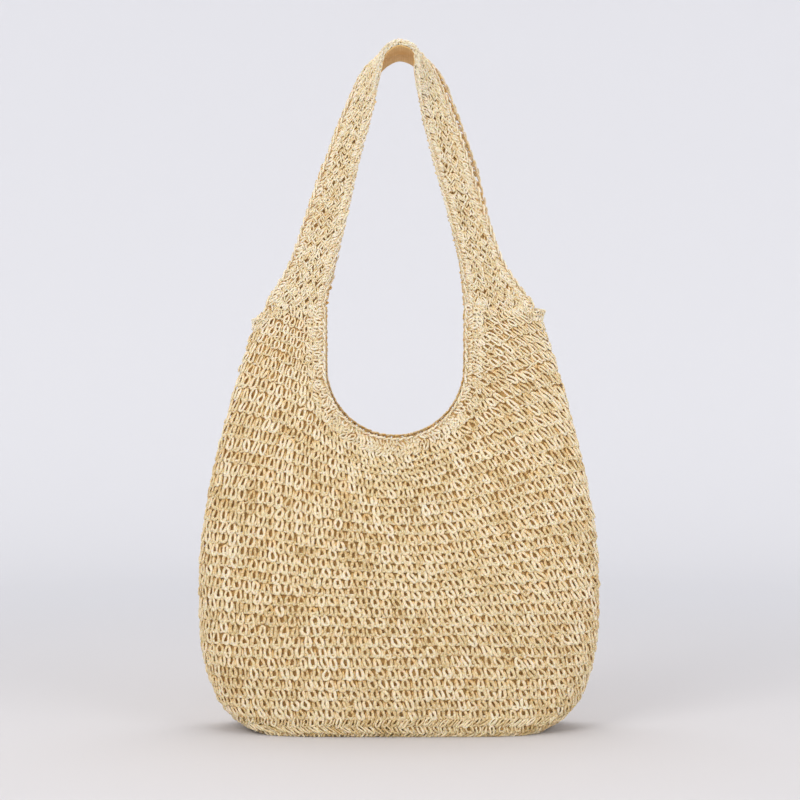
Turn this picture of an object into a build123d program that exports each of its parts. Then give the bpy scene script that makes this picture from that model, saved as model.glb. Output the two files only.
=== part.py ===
from build123d import *
import math
import os

# Crocheted paper-straw hobo bag with two shoulder handles, in millimetres.
# X runs along the width, -Y is the front, +Z is up; the origin is under the middle of the base.

# Levels of the soft body: height, half width, half depth, roundness of the plan outline.
LEVELS = [
    (0, 130, 57, 5.0),
    (5, 143, 59, 4.0),
    (18, 163, 60, 3.2),
    (40, 177, 61, 2.7),
    (75, 187, 61, 2.4),
    (120, 190, 59, 2.2),
    (180, 188, 52, 2.1),
    (240, 178, 42, 2.0),
    (300, 163, 34, 1.85),
    (350, 149, 29, 1.7),
    (400, 132, 26, 1.6),
]
RING_POINTS = 28
BASE_TOP = 18
NECK_TOP = 400

WALL = 5.0
LINING_GAP = 1.4
LINING = 0.9
POCKET_GAP = 0.3
POCKET = 0.8

# Mouth: a U with a round bottom, bound by a denser rim.
MOUTH_X = -3.5
MOUTH_LOW = 276
MOUTH_RADIUS = 65
RIM_WIDTH = 14
BACK_RIM_RISE = 2
SEAM = 0.2

POCKET_HALF_WIDTH = 70
POCKET_BOTTOM = 110
POCKET_TOP = 215
HEM = 10
SNAP_HEIGHT = 246
SNAP_DIAMETER = 18
SNAP_THICK = 2.6
SHANK_DIAMETER = 5
WASHER_DIAMETER = 13
WASHER_THICK = 0.8
PATCH_HALF = 15

# Handles: stations of the outer face from the left neck over the top to the right neck,
# each the point on the outer edge and the point on the inner edge of the band.
HANDLE = [
    ((-128.5, -7, 400), (-68.5, -20, 400)),
    ((-105, -8, 440), (-60, -20, 442)),
    ((-91, -8, 480), (-49, -21, 484)),
    ((-71, -8, 536), (-36.5, -25, 540)),
    ((-52.5, -8, 584), (-24.5, -32, 588)),
    ((-42, -6, 608), (-21, -38, 613)),
    ((-29, -4, 630), (-16, -43, 635)),
    ((3, -2, 643), (2, -46, 645)),
    ((27, -4, 634), (17, -43, 637)),
    ((39, -6, 614), (18, -38, 616)),
    ((51, -8, 584), (20.5, -32, 588)),
    ((67.5, -8, 538), (31.5, -25, 540)),
    ((85.5, -8, 480), (46.5, -21, 484)),
    ((102.5, -8, 438), (57.5, -20, 440)),
    ((130, -7, 400), (61.5, -20, 400)),
]
HANDLE_LIFT = 0.4
BAND = 4.6
EDGING = 6.0
EDGING_PROUD = 0.7
TAPE = 0.9
TAPE_MARGIN = 1.5

# The corner where the handle edgings meet at each side of the body.
CORNER_LEFT = (-134, 388)
CORNER_RIGHT = (134.5, 396)
CORNER_RADIUS = 5.5


def ring(level, inset):
    """Plan outline of the body at one level, moved in by the inset."""
    height, half_width, half_depth, roundness = level
    a = half_width - inset
    b = half_depth - inset
    power = 2 / roundness
    points = []
    for i in range(RING_POINTS):
        t = 2 * math.pi * i / RING_POINTS
        c, s = math.cos(t), math.sin(t)
        x = a * math.copysign(abs(c) ** power, c)
        y = b * math.copysign(abs(s) ** power, s)
        points.append((x, y, height))
    return Wire([Edge.make_spline(points, periodic=True)])


def tube(inset, low, high):
    """Solid inside the outline, between two of the levels."""
    rings = [ring(level, inset) for level in LEVELS if low <= level[0] <= high]
    return Solid.make_loft(rings)


def raised(inset, floor, high):
    """The same solid for the hollow of the base, which starts at the floor's top."""
    low_ring = ring((floor,) + LEVELS[1][1:], inset)
    rings = [low_ring] + [ring(level, inset) for level in LEVELS if floor < level[0] <= high]
    return Solid.make_loft(rings)


def block(x0, x1, y0, y1, z0, z1):
    return Pos((x0 + x1) / 2, (y0 + y1) / 2, (z0 + z1) / 2) * Box(x1 - x0, y1 - y0, z1 - z0)


def mouth(grow, rise=0):
    """U-shaped prism through the bag, from the mouth's low point up past the neck."""
    radius = MOUTH_RADIUS + grow
    centre = MOUTH_LOW + MOUTH_RADIUS + rise
    top = NECK_TOP + 20
    turned = Rot(90, 0, 0) * Cylinder(radius, 200)
    sides = block(-radius, radius, -100, 100, centre, top)
    return Pos(MOUTH_X, 0, 0) * (Pos(0, 0, centre) * turned + sides)


def wall_shell():
    return tube(0, BASE_TOP, NECK_TOP) - tube(WALL, BASE_TOP, NECK_TOP)


def front_half():
    return block(-220, 220, -120, 0, -10, 460)


def back_half():
    return block(-220, 220, 0, 120, -10, 460)


def body_wall(shell):
    front = (shell & front_half()) - mouth(RIM_WIDTH + SEAM)
    back = (shell & back_half()) - mouth(RIM_WIDTH + SEAM, BACK_RIM_RISE)
    return front + back


def rim(shell, half, rise):
    return (shell & half & mouth(RIM_WIDTH, rise)) - mouth(0, rise)


def base_panel():
    return tube(0, 0, BASE_TOP) - raised(WALL, WALL, BASE_TOP)


def lining_wall():
    inner = WALL + LINING_GAP
    shell = tube(inner, BASE_TOP, NECK_TOP) - tube(inner + LINING, BASE_TOP, NECK_TOP)
    return shell - mouth(RIM_WIDTH / 2) - block(-220, 220, -120, 120, NECK_TOP - 8, 460)


def lining_base():
    inner = WALL + LINING_GAP
    return raised(inner, inner, BASE_TOP) - raised(inner + LINING, inner + LINING, BASE_TOP)


def inner_patch(start, thick, box):
    """A piece of cloth lying on the lining, cut to a box."""
    shell = tube(start, BASE_TOP, NECK_TOP) - tube(start + thick, BASE_TOP, NECK_TOP)
    return shell & box


def patch_start():
    return WALL + LINING_GAP + LINING + POCKET_GAP


def slip_pocket():
    box = block(-POCKET_HALF_WIDTH, POCKET_HALF_WIDTH, 0, 120, POCKET_BOTTOM, POCKET_TOP)
    return inner_patch(patch_start(), POCKET, box)


def pocket_hem():
    half = POCKET_HALF_WIDTH
    box = block(-half, half, 0, 120, POCKET_TOP + SEAM, POCKET_TOP + HEM)
    return inner_patch(patch_start(), 2 * POCKET, box)


def wall_depth(height):
    """Half depth of the body at a height between two levels."""
    for low, high in zip(LEVELS, LEVELS[1:]):
        if low[0] <= height <= high[0]:
            share = (height - low[0]) / (high[0] - low[0])
            return low[2] + share * (high[2] - low[2])
    return LEVELS[-1][2]


def snap_plane(side):
    """Plane on the cloth patch at the snap, facing into the bag; side is -1 front, 1 back."""
    inset = patch_start() + POCKET
    slope = (wall_depth(SNAP_HEIGHT - 10) - wall_depth(SNAP_HEIGHT + 10)) / 20
    origin = (MOUTH_X, side * (wall_depth(SNAP_HEIGHT) - inset - 0.3), SNAP_HEIGHT)
    return Plane(origin=origin, x_dir=(1, 0, 0), z_dir=(0, -side, -slope))


def snap_hole(side):
    plane = snap_plane(side)
    return plane * (Pos(0, 0, -2) * Cylinder(SHANK_DIAMETER / 2 + 0.1, 10))


def snap_patch(side):
    y0, y1 = (-120, 0) if side < 0 else (0, 120)
    low, high = SNAP_HEIGHT - PATCH_HALF, SNAP_HEIGHT + PATCH_HALF / 2
    box = block(MOUTH_X - PATCH_HALF, MOUTH_X + PATCH_HALF, y0, y1, low, high)
    return inner_patch(patch_start(), POCKET, box) - snap_hole(side)


def snap_stem():
    """Shank from the snap's back face through patch and lining to the washer's back."""
    length = POCKET + POCKET_GAP + LINING + LINING_GAP - 0.3
    return Pos(0, 0, -length / 2) * Cylinder(SHANK_DIAMETER / 2, length), length


def snap_socket():
    stem, _ = snap_stem()
    disc = Pos(0, 0, SNAP_THICK / 2) * Cylinder(SNAP_DIAMETER / 2, SNAP_THICK)
    disc = fillet(disc.edges().filter_by(GeomType.CIRCLE).sort_by(Axis.Z)[-1], 0.8)
    well = Pos(0, 0, SNAP_THICK) * Cylinder(SNAP_DIAMETER / 5, 2.4)
    return snap_plane(-1) * (disc + stem - well)


def snap_stud():
    stem, _ = snap_stem()
    disc = Pos(0, 0, SNAP_THICK / 2) * Cylinder(SNAP_DIAMETER / 2, SNAP_THICK)
    disc = fillet(disc.edges().filter_by(GeomType.CIRCLE).sort_by(Axis.Z)[-1], 0.8)
    knob = Pos(0, 0, SNAP_THICK + 0.6) * Cylinder(SNAP_DIAMETER / 5 - 0.4, 1.2)
    return snap_plane(1) * (disc + stem + knob)


def snap_washers():
    rings = []
    for side in (-1, 1):
        _, length = snap_stem()
        ring_solid = Cylinder(WASHER_DIAMETER / 2, WASHER_THICK) - Cylinder(SHANK_DIAMETER / 2 + 0.05, 4)
        rings.append(snap_plane(side) * (Pos(0, 0, -length + WASHER_THICK / 2) * ring_solid))
    return Compound(children=rings)


def corner_edging(corner):
    """Bump of edging stitches wrapped round the bottom of one side opening."""
    x, z = corner
    bump = Pos(x, 0, z) * Sphere(CORNER_RADIUS)
    return bump - tube(-SEAM, BASE_TOP, NECK_TOP)


def station_frames():
    """Corner point and unit directions at every station: across, out of the face, and width."""
    frames = []
    middles = [(Vector(*o) + Vector(*i)) / 2 for o, i in HANDLE]
    last = len(HANDLE) - 1
    for k, (outer, inner) in enumerate(HANDLE):
        outer, inner = Vector(*outer), Vector(*inner)
        across = (inner - outer).normalized()
        along = middles[min(k + 1, last)] - middles[max(k - 1, 0)]
        if k == 0:
            along = Vector(0, 0, 1)
        if k == last:
            along = Vector(0, 0, -1)
        out = across.cross(along).normalized()
        frames.append((outer, across, out, (inner - outer).length))
    return frames


def strip(side, start, finish, low, high):
    """Band along the handle, as four ruled sides between its corner curves and two ends.

    start and finish are places across the band, each a share of its width and an offset.
    low and high are distances out of its face.
    """
    rows = []
    for (share, offset), proud in [(start, low), (finish, low), (finish, high), (start, high)]:
        row = []
        for outer, across, out, width in station_frames():
            reach = share * width + offset
            point = outer + across * reach + out * proud + Vector(0, 0, HANDLE_LIFT)
            row.append((point.X, point.Y * side, point.Z))
        rows.append(row)
    steps = [k / (len(HANDLE) - 1) for k in range(len(HANDLE))]
    curves = [Edge.make_spline(row, parameters=steps) for row in rows]
    faces = [Face.make_surface_from_curves(curves[k - 1], curves[k]) for k in range(4)]
    faces += [Face(Wire.make_polygon([row[end] for row in rows])) for end in (0, -1)]
    return Solid(Shell(faces))


def handle(side, name):
    """The four pieces of one handle; side is 1 for the front, -1 for its mirror image."""
    outer_joint, inner_joint = (0, EDGING + SEAM), (1, -EDGING - SEAM)
    tape_start, tape_finish = (0, EDGING + TAPE_MARGIN), (1, -EDGING - TAPE_MARGIN)
    tape_top = -BAND - SEAM
    return {
        name + "_band": strip(side, outer_joint, inner_joint, -BAND, 0),
        name + "_outer_edging": strip(side, (0, 0), (0, EDGING), -BAND, EDGING_PROUD),
        name + "_inner_edging": strip(side, (1, -EDGING), (1, 0), -BAND, EDGING_PROUD),
        name + "_tape": strip(side, tape_start, tape_finish, tape_top - TAPE, tape_top),
    }


def main():
    shell = wall_shell()
    lining = lining_wall() - snap_hole(-1) - snap_hole(1)
    nodes = {
        "base_panel": base_panel(),
        "body_wall": body_wall(shell),
        "front_rim": rim(shell, front_half(), 0),
        "back_rim": rim(shell, back_half(), BACK_RIM_RISE),
        "left_corner_edging": corner_edging(CORNER_LEFT),
        "right_corner_edging": corner_edging(CORNER_RIGHT),
        "lining_wall": lining,
        "lining_base": lining_base(),
        "slip_pocket": slip_pocket(),
        "pocket_hem": pocket_hem(),
        "front_snap_patch": snap_patch(-1),
        "back_snap_patch": snap_patch(1),
        "magnetic_snap_socket": snap_socket(),
        "magnetic_snap_stud": snap_stud(),
        "snap_washers": snap_washers(),
    }
    nodes.update(handle(1, "front_handle"))
    nodes.update(handle(-1, "back_handle"))
    os.makedirs("parts", exist_ok=True)
    for name, shape in nodes.items():
        export_step(shape, "parts/" + name + ".step")
        print(name, round(shape.volume), shape.is_valid)


main()
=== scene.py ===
import bmesh
import bpy
import math
import numpy as np
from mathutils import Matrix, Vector


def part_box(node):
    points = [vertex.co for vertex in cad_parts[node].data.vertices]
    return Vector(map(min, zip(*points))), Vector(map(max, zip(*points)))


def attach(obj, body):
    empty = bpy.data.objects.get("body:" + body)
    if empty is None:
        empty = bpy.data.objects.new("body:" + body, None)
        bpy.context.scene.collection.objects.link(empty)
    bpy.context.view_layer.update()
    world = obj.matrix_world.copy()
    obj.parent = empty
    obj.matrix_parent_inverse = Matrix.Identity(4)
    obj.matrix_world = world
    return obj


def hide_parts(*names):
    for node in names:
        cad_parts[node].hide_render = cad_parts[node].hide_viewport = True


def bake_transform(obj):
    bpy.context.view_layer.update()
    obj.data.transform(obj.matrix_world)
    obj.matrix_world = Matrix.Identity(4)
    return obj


# A crocheted paper-straw hobo bag. Every stitch is a loop of yarn laid on the bag's soft surface.
# Lengths are in millimetres, and are turned into metres when a mesh is made.
# side is -1 for the front and 1 for the back, and leg is -1 for the left and 1 for the right.

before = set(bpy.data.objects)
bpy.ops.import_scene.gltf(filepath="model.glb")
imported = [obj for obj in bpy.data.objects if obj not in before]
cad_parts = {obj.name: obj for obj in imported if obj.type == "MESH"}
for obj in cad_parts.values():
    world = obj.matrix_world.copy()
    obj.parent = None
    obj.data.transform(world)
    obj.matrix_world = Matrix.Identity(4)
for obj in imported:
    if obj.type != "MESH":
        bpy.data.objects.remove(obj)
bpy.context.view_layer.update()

MM = 0.001
RNG = np.random.default_rng(11)
TINY = 1e-9

# ---------------------------------------------------------------- shape, as in the CAD part

# Height, half width, half depth and squareness of the bag's oval outline.
LEVELS = np.array([
    (0, 130, 57, 5.0),
    (5, 143, 59, 4.0),
    (18, 163, 60, 3.2),
    (40, 177, 61, 2.7),
    (75, 187, 61, 2.4),
    (120, 190, 59, 2.2),
    (180, 188, 52, 2.1),
    (240, 178, 42, 2.0),
    (300, 163, 34, 1.85),
    (350, 149, 29, 1.7),
    (400, 132, 26, 1.6),
], float)
BASE_TOP = 18.0
NECK_TOP = 400.0
MOUTH_X = -3.5
MOUTH_LOW = 276.0
MOUTH_RADIUS = 65.0
RIM_WIDTH = 14.0
BACK_RIM_RISE = 2.0
LINING_FOOT = 7.5

# Outer and inner edge of the front handle, from the left neck over the top to the right neck.
HANDLE = [
    ((-128.5, -7, 400), (-68.5, -20, 400)),
    ((-105, -8, 440), (-60, -20, 442)),
    ((-91, -8, 480), (-49, -21, 484)),
    ((-71, -8, 536), (-36.5, -25, 540)),
    ((-52.5, -8, 584), (-24.5, -32, 588)),
    ((-42, -6, 608), (-21, -38, 613)),
    ((-29, -4, 630), (-16, -43, 635)),
    ((3, -2, 643), (2, -46, 645)),
    ((27, -4, 634), (17, -43, 637)),
    ((39, -6, 614), (18, -38, 616)),
    ((51, -8, 584), (20.5, -32, 588)),
    ((67.5, -8, 538), (31.5, -25, 540)),
    ((85.5, -8, 480), (46.5, -21, 484)),
    ((102.5, -8, 438), (57.5, -20, 440)),
    ((130, -7, 400), (61.5, -20, 400)),
]
TOP_SECTION = 7
# How far the back handle's outer and inner edges show past the front's, on each leg.
BACK_SHOWS = {-1: (2.5, 5.0), 1: (6.0, 7.0)}
# Height of the tip of each corner's edging, and how far it stands out.
CORNER_TIPS = {-1: (388.0, 3.4), 1: (396.0, 6.2)}

# The fold at the neck, where each handle bends forward or back.
HINGE_Z = 400.2
FOLD_HALF = 13.0

# ---------------------------------------------------------------- crochet gauge

# Height of a row at the sides, where it starts at the first number.
ROW_TALL = np.array([(18, 8.6), (30, 9.0), (60, 10.2), (90, 10.6), (200, 10.6), (240, 11.5), (310, 12.0),
                     (345, 10.6), (370, 9.0), (400, 8.6)])
# How far a row sags in the middle, by its height at the sides. The rows follow the mouth's scoop.
SAG = np.array([(18, 0), (83, 0), (129, 8), (179, 20), (225, 28), (277, 42.5), (327, 65), (400, 65)], float)
FULL_SAG_ROW, FULL_SAG = 327.0, 65.0
SAG_NARROW, SAG_WIDE, SAG_SPREAD = 80.0, 150.0, 0.56  # half width of the sag, and its growth downward
TOP_ROW = 436.0
ABOVE_NECK = 14.0  # how far the rows may go on above the necks
LINES_PER_ROW = 4
ROUND_STITCHES = 84
SPIRAL = -0.22  # each round starts this many stitches further on, so the columns lean
SHOULDER_FROM, SHOULDER_RANGE = 240.0, 90.0  # where the loops start to lean more
DRAWN_FROM, DRAWN_RANGE = 290.0, 80.0  # where they start to be drawn in toward the necks
LEAN, LEAN_RIGHT, SHOULDER_LEAN, SHOULDER_LEAN_RIGHT = -0.25, -0.18, -0.15, -0.28
BODY_YARN = 0.165  # half width of the body's yarn as a share of the stitch
LEAST_YARN = 1.05

# Spacing of the rows and of the stitches, or of the stitches and of the braid's links.
BASE_ROW, BASE_STITCH = 6.6, 7.6
RIM_STITCH, RIM_LINK = 6.0, 6.5
HANDLE_ROW, HANDLE_STITCH, HANDLE_MARGIN = 4.7, 4.3, 4.5
SIDE_STITCH, SIDE_LINK, SIDE_DEEP = 4.2, 8.0, 5.2
SIDE_BRAID_FROM = 598.0  # the braid on a handle's inner side shows only under its top
EDGING_TALL = 6.6
# Spacing, openness and lean of an edging's posts, and the spacing of its links.
OUTER_EDGING = (6.4, 0.33, -0.35, 9.0)
INNER_EDGING = (5.2, 0.27, 0.40, 10.0)

# Half width and half thickness of the yarn, and its twist in turns per millimetre.
YARN_WIDE, YARN_THICK, TWIST = 1.60, 0.95, 0.10
ROLL = 0.5  # radians that the flat strand rolls to each side
RANDOM_START = 400.0  # where each strand begins in the paper's texture
LOWEST = 0.15  # no yarn goes nearer to the floor
FACE_DEPTH = 1.7
EDGE_INSET = 1.2
# Painted light and painted shade: the yarn is made paler higher up, in the handles, where more light falls,
# and darker at the base, in the shade by the floor: how much, from which height, over what range.
PAINTED_LIGHT, LIGHT_FROM, LIGHT_RANGE = 0.40, 230.0, 220.0
PAINTED_SHADE, SHADE_FROM, SHADE_RANGE = 0.25, 26.0, 16.0
# Bends round a loop: how many, and their size in stitch widths and row heights.
WOBBLE = ((2, 0.026), (3, 0.024), (5, 0.016))


# ---------------------------------------------------------------- small helpers


def smooth_step(x):
    """0 below 0 and 1 above 1, with a smooth rise between them."""
    x = np.clip(x, 0, 1)
    return x * x * (3 - 2 * x)


def unit(vectors):
    """Vectors of length 1 in the same directions."""
    return vectors / (np.linalg.norm(vectors, axis=-1, keepdims=True) + TINY)


def run_length(line):
    """How far along a line of points each one lies."""
    steps = np.linalg.norm(np.diff(line, axis=0), axis=1)
    return np.concatenate([[0], np.cumsum(steps)])


def spaced(count):
    """The middles of equal shares of 0..1."""
    return (np.arange(count) + 0.5) / count


def scatter(spread, count):
    """A random number for each strand, as a column."""
    return RNG.normal(0, spread, count)[:, None]


def phases(count):
    """A random angle for each strand, as a column."""
    return RNG.uniform(0, 6.3, count)[:, None]


def oval(angle, a, b, n):
    """x and y on an oval of half width a and half depth b, squarer as n grows."""
    c, s = np.cos(angle), np.sin(angle)
    power = 2 / n
    return a * np.sign(c) * np.abs(c) ** power, b * np.sign(s) * np.abs(s) ** power


def new_object(name, data):
    piece = bpy.data.objects.new(name, data)
    bpy.context.scene.collection.objects.link(piece)
    return piece


def spline(knots, values, at):
    """Smooth curve through the values: a cubic Hermite with centred slopes."""
    knots = np.asarray(knots, float)
    values = np.asarray(values, float)
    slopes = np.gradient(values, knots, axis=0)
    at = np.clip(at, knots[0], knots[-1])
    k = np.clip(np.searchsorted(knots, at, side="right") - 1, 0, len(knots) - 2)
    span = knots[k + 1] - knots[k]
    t = (at - knots[k]) / span
    if values.ndim > 1:
        t, span = t[..., None], span[..., None]
    a = (1 + 2 * t) * (1 - t) ** 2
    b = t * (1 - t) ** 2
    c = t * t * (3 - 2 * t)
    d = t * t * (t - 1)
    return a * values[k] + b * span * slopes[k] + c * values[k + 1] + d * span * slopes[k + 1]


def outline(z):
    """Half width, half depth and squareness of the body at each height."""
    return spline(LEVELS[:, 0], LEVELS[:, 1:], np.asarray(z, float))


def wall_depth(x, z):
    """Distance from the middle plane to the wall's outer face."""
    a, b, n = np.moveaxis(outline(z), -1, 0)
    inside = np.clip(1 - np.abs(x / a) ** n, 0, 1)
    return b * inside ** (1 / n)


def mouth_distance(x, z, rise=0.0):
    """Distance outward from the mouth's edge, along the wall."""
    dx = x - MOUTH_X
    dz = np.minimum(z - (MOUTH_LOW + MOUTH_RADIUS + rise), 0)
    return np.hypot(dx, dz) - MOUTH_RADIUS


def row_drop(x, z, a):
    """How far the row that is at height z at the sides sags at x. a is the half width there."""
    sag = spline(SAG[:, 0], SAG[:, 1], z)
    width = np.clip(SAG_NARROW + SAG_SPREAD * (FULL_SAG_ROW - z), SAG_NARROW, SAG_WIDE)
    peak = 1 / (1 + ((x - MOUTH_X * sag / FULL_SAG) / width) ** 2)
    end = 1 / (1 + (a / width) ** 2)
    return sag * np.maximum(peak - end, 0) / (1 - end)


# ---------------------------------------------------------------- sheets of stitches


class Sheet:
    """A surface as a grid of points[row, column]. u runs along the rows, v up through them."""

    def __init__(self, points, closed=False):
        self.closed = closed
        if closed:
            points = np.concatenate([points[:, -2:-1], points, points[:, 1:2]], axis=1)
        normal = unit(np.cross(np.gradient(points, axis=1), np.gradient(points, axis=0)))
        if closed:
            points, normal = points[:, 1:-1], normal[:, 1:-1]
        self.points, self.normal = points, normal

    def at(self, u, v, lift):
        """Points and normals at u and v in 0..1, lifted along the normal. v may go below 0."""
        rows, columns = self.points.shape[:2]
        u = u % 1.0 if self.closed else np.clip(u, 0, 1)
        i = np.clip(u * (columns - 1), 0, columns - 1.000001)
        j = np.clip(v * (rows - 1), 0, rows - 1.000001)
        i0, j0 = i.astype(int), j.astype(int)
        s, t = (i - i0)[..., None], (j - j0)[..., None]

        def mix(grid):
            low = grid[j0, i0] * (1 - s) + grid[j0, i0 + 1] * s
            high = grid[j0 + 1, i0] * (1 - s) + grid[j0 + 1, i0 + 1] * s
            return low * (1 - t) + high * t

        normal = unit(mix(self.normal))
        climb = self.points[1, i0] - self.points[0, i0]
        below = (np.minimum(v, 0) * (rows - 1))[..., None]
        return mix(self.points) + normal * lift[..., None] + climb * below, normal

    def place(self, u, v):
        """Points on the surface itself."""
        return self.at(u, np.broadcast_to(v, u.shape), np.zeros(u.shape))[0]


def even_ring(points, count):
    """A closed line resampled at even steps of its length; the last point repeats the first."""
    length = run_length(points)
    at = np.linspace(0, length[-1], count)
    return np.stack([np.interp(at, length, points[:, k]) for k in range(3)], axis=1)


# One round of the body runs from the middle of the back, by the left side and the front.
ROUND_ANGLES = np.pi / 2 + np.linspace(0, 2 * np.pi, 721)
ROUND_POINTS = 481


def level_ring(z, a, b, n, count):
    """One level round of the body as evenly spaced points. z may change along it."""
    x, y = oval(ROUND_ANGLES, a, b, n)
    return even_ring(np.stack([x, y, np.broadcast_to(z, x.shape)], axis=1), count)


def row_heights():
    """Heights of the rows at the sides. The last ones show only beside the mouth, where they sag."""
    heights = [BASE_TOP]
    while heights[-1] < TOP_ROW:
        heights.append(heights[-1] + np.interp(heights[-1], ROW_TALL[:, 0], ROW_TALL[:, 1]))
    return np.array(heights)


def body_sheet(heights):
    """The wall of the bag. Every fourth line of points is the foot of a row."""
    rows = []
    lines = np.arange(LINES_PER_ROW * (len(heights) - 1) + 1) / LINES_PER_ROW
    for side_z in np.interp(lines, np.arange(len(heights)), heights):
        share = (side_z - BASE_TOP) / (NECK_TOP - BASE_TOP)
        a, b, n = outline(side_z)
        x, _ = oval(ROUND_ANGLES, a, b, n)
        wander = 1.0 * np.sin(x / 47 + 5 * share) + 0.7 * np.sin(x / 21 - 9 * share)
        z = side_z - row_drop(x, side_z, a) + wander * smooth_step(share * 6)
        z = np.clip(z, BASE_TOP, NECK_TOP + ABOVE_NECK)
        rows.append(level_ring(z, *outline(z).T, ROUND_POINTS))
    return Sheet(np.array(rows), closed=True)


def base_sheet():
    """The dense oval base, from its middle line out and up to the body, and its length that way."""
    a, b, n = LEVELS[0, 1:]
    rings = [(0, a - 10 * k, b - 10 * k, 3.0 + (n - 3.0) * (1 - k / 5)) for k in range(5, 0, -1)]
    rings += [(z, *outline(z)) for z in (0, 1.2, 3, 6, 10, 14, BASE_TOP)]
    rows = np.array([level_ring(*ring, ROUND_POINTS) for ring in rings])
    length = run_length(rows[:, ROUND_POINTS // 2])
    at = np.linspace(0, length[-1], 49)
    even = [[np.interp(at, length, rows[:, i, k]) for k in range(3)] for i in range(ROUND_POINTS)]
    return Sheet(np.moveaxis(np.array(even), [0, 1, 2], [1, 2, 0]), closed=True), length[-1]


def rim_sheet(side):
    """The band round the mouth. v is 0 where it joins the body and 1 at the open edge."""
    rise = 0.0 if side < 0 else BACK_RIM_RISE
    centre = MOUTH_LOW + MOUTH_RADIUS + rise
    straight = NECK_TOP - centre
    quarter = MOUTH_RADIUS * math.pi / 2
    total = 2 * (straight + quarter)
    q = np.linspace(0, total, 361)
    rows = []
    for v in np.linspace(0, 1, 9):
        radius = MOUTH_RADIUS + EDGE_INSET + (RIM_WIDTH - EDGE_INSET) * (1 - v)
        angle = np.clip((q - straight) / MOUTH_RADIUS, 0, math.pi)
        x = MOUTH_X - radius * np.cos(angle)
        z = centre - radius * np.sin(angle)
        z = z + np.maximum(straight - q, 0) + np.maximum(q - (total - straight), 0)
        y = side * wall_depth(x, z)
        rows.append(np.stack([x, y, z], axis=1))
    rows = np.array(rows)
    return Sheet(rows if side < 0 else rows[:, ::-1]), total


def handle_edges(side, leg, at):
    """The outer and inner edge of one leg, at shares of its length from the neck to the top."""
    outer, inner = np.moveaxis(np.array(HANDLE, float), 1, 0)
    knots = run_length((outer + inner) / 2)
    top = knots[TOP_SECTION]
    length = top if leg < 0 else knots[-1] - top
    where = at * top if leg < 0 else knots[-1] - at * length
    outer, inner = spline(knots, outer, where), spline(knots, inner, where)
    neck = HANDLE[0][1][0] if leg < 0 else HANDLE[-1][1][0]
    inner[:, 0] = neck + (inner[:, 0] - neck) * smooth_step((inner[:, 2] - NECK_TOP) / 30)
    if side > 0:
        outer, inner = outer * [1, -1, 1], inner * [1, -1, 1]
        between = smooth_step((outer[:, 2] - 420) / 130) * smooth_step((641 - outer[:, 2]) / 26)
        for edge, shows in zip((outer, inner), BACK_SHOWS[leg]):
            edge[:, 0] += leg * between * shows
    return outer, inner, length


def handle_sheet(side, leg):
    """One leg of a handle from the neck up to the top. leg is -1 for the left, 1 for the right."""
    outer, inner, length = handle_edges(side, leg, np.linspace(0, 1, 121))
    inset = EDGE_INSET / np.linalg.norm(inner - outer, axis=1)[:, None, None]
    u = inset + (1 - 2 * inset) * np.linspace(0, 1, 17)[None, :, None]
    points = outer[:, None] * (1 - u) + inner[:, None] * u
    if leg * side < 0:
        points = points[:, ::-1]
    return Sheet(points), length


# ---------------------------------------------------------------- yarn


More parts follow.
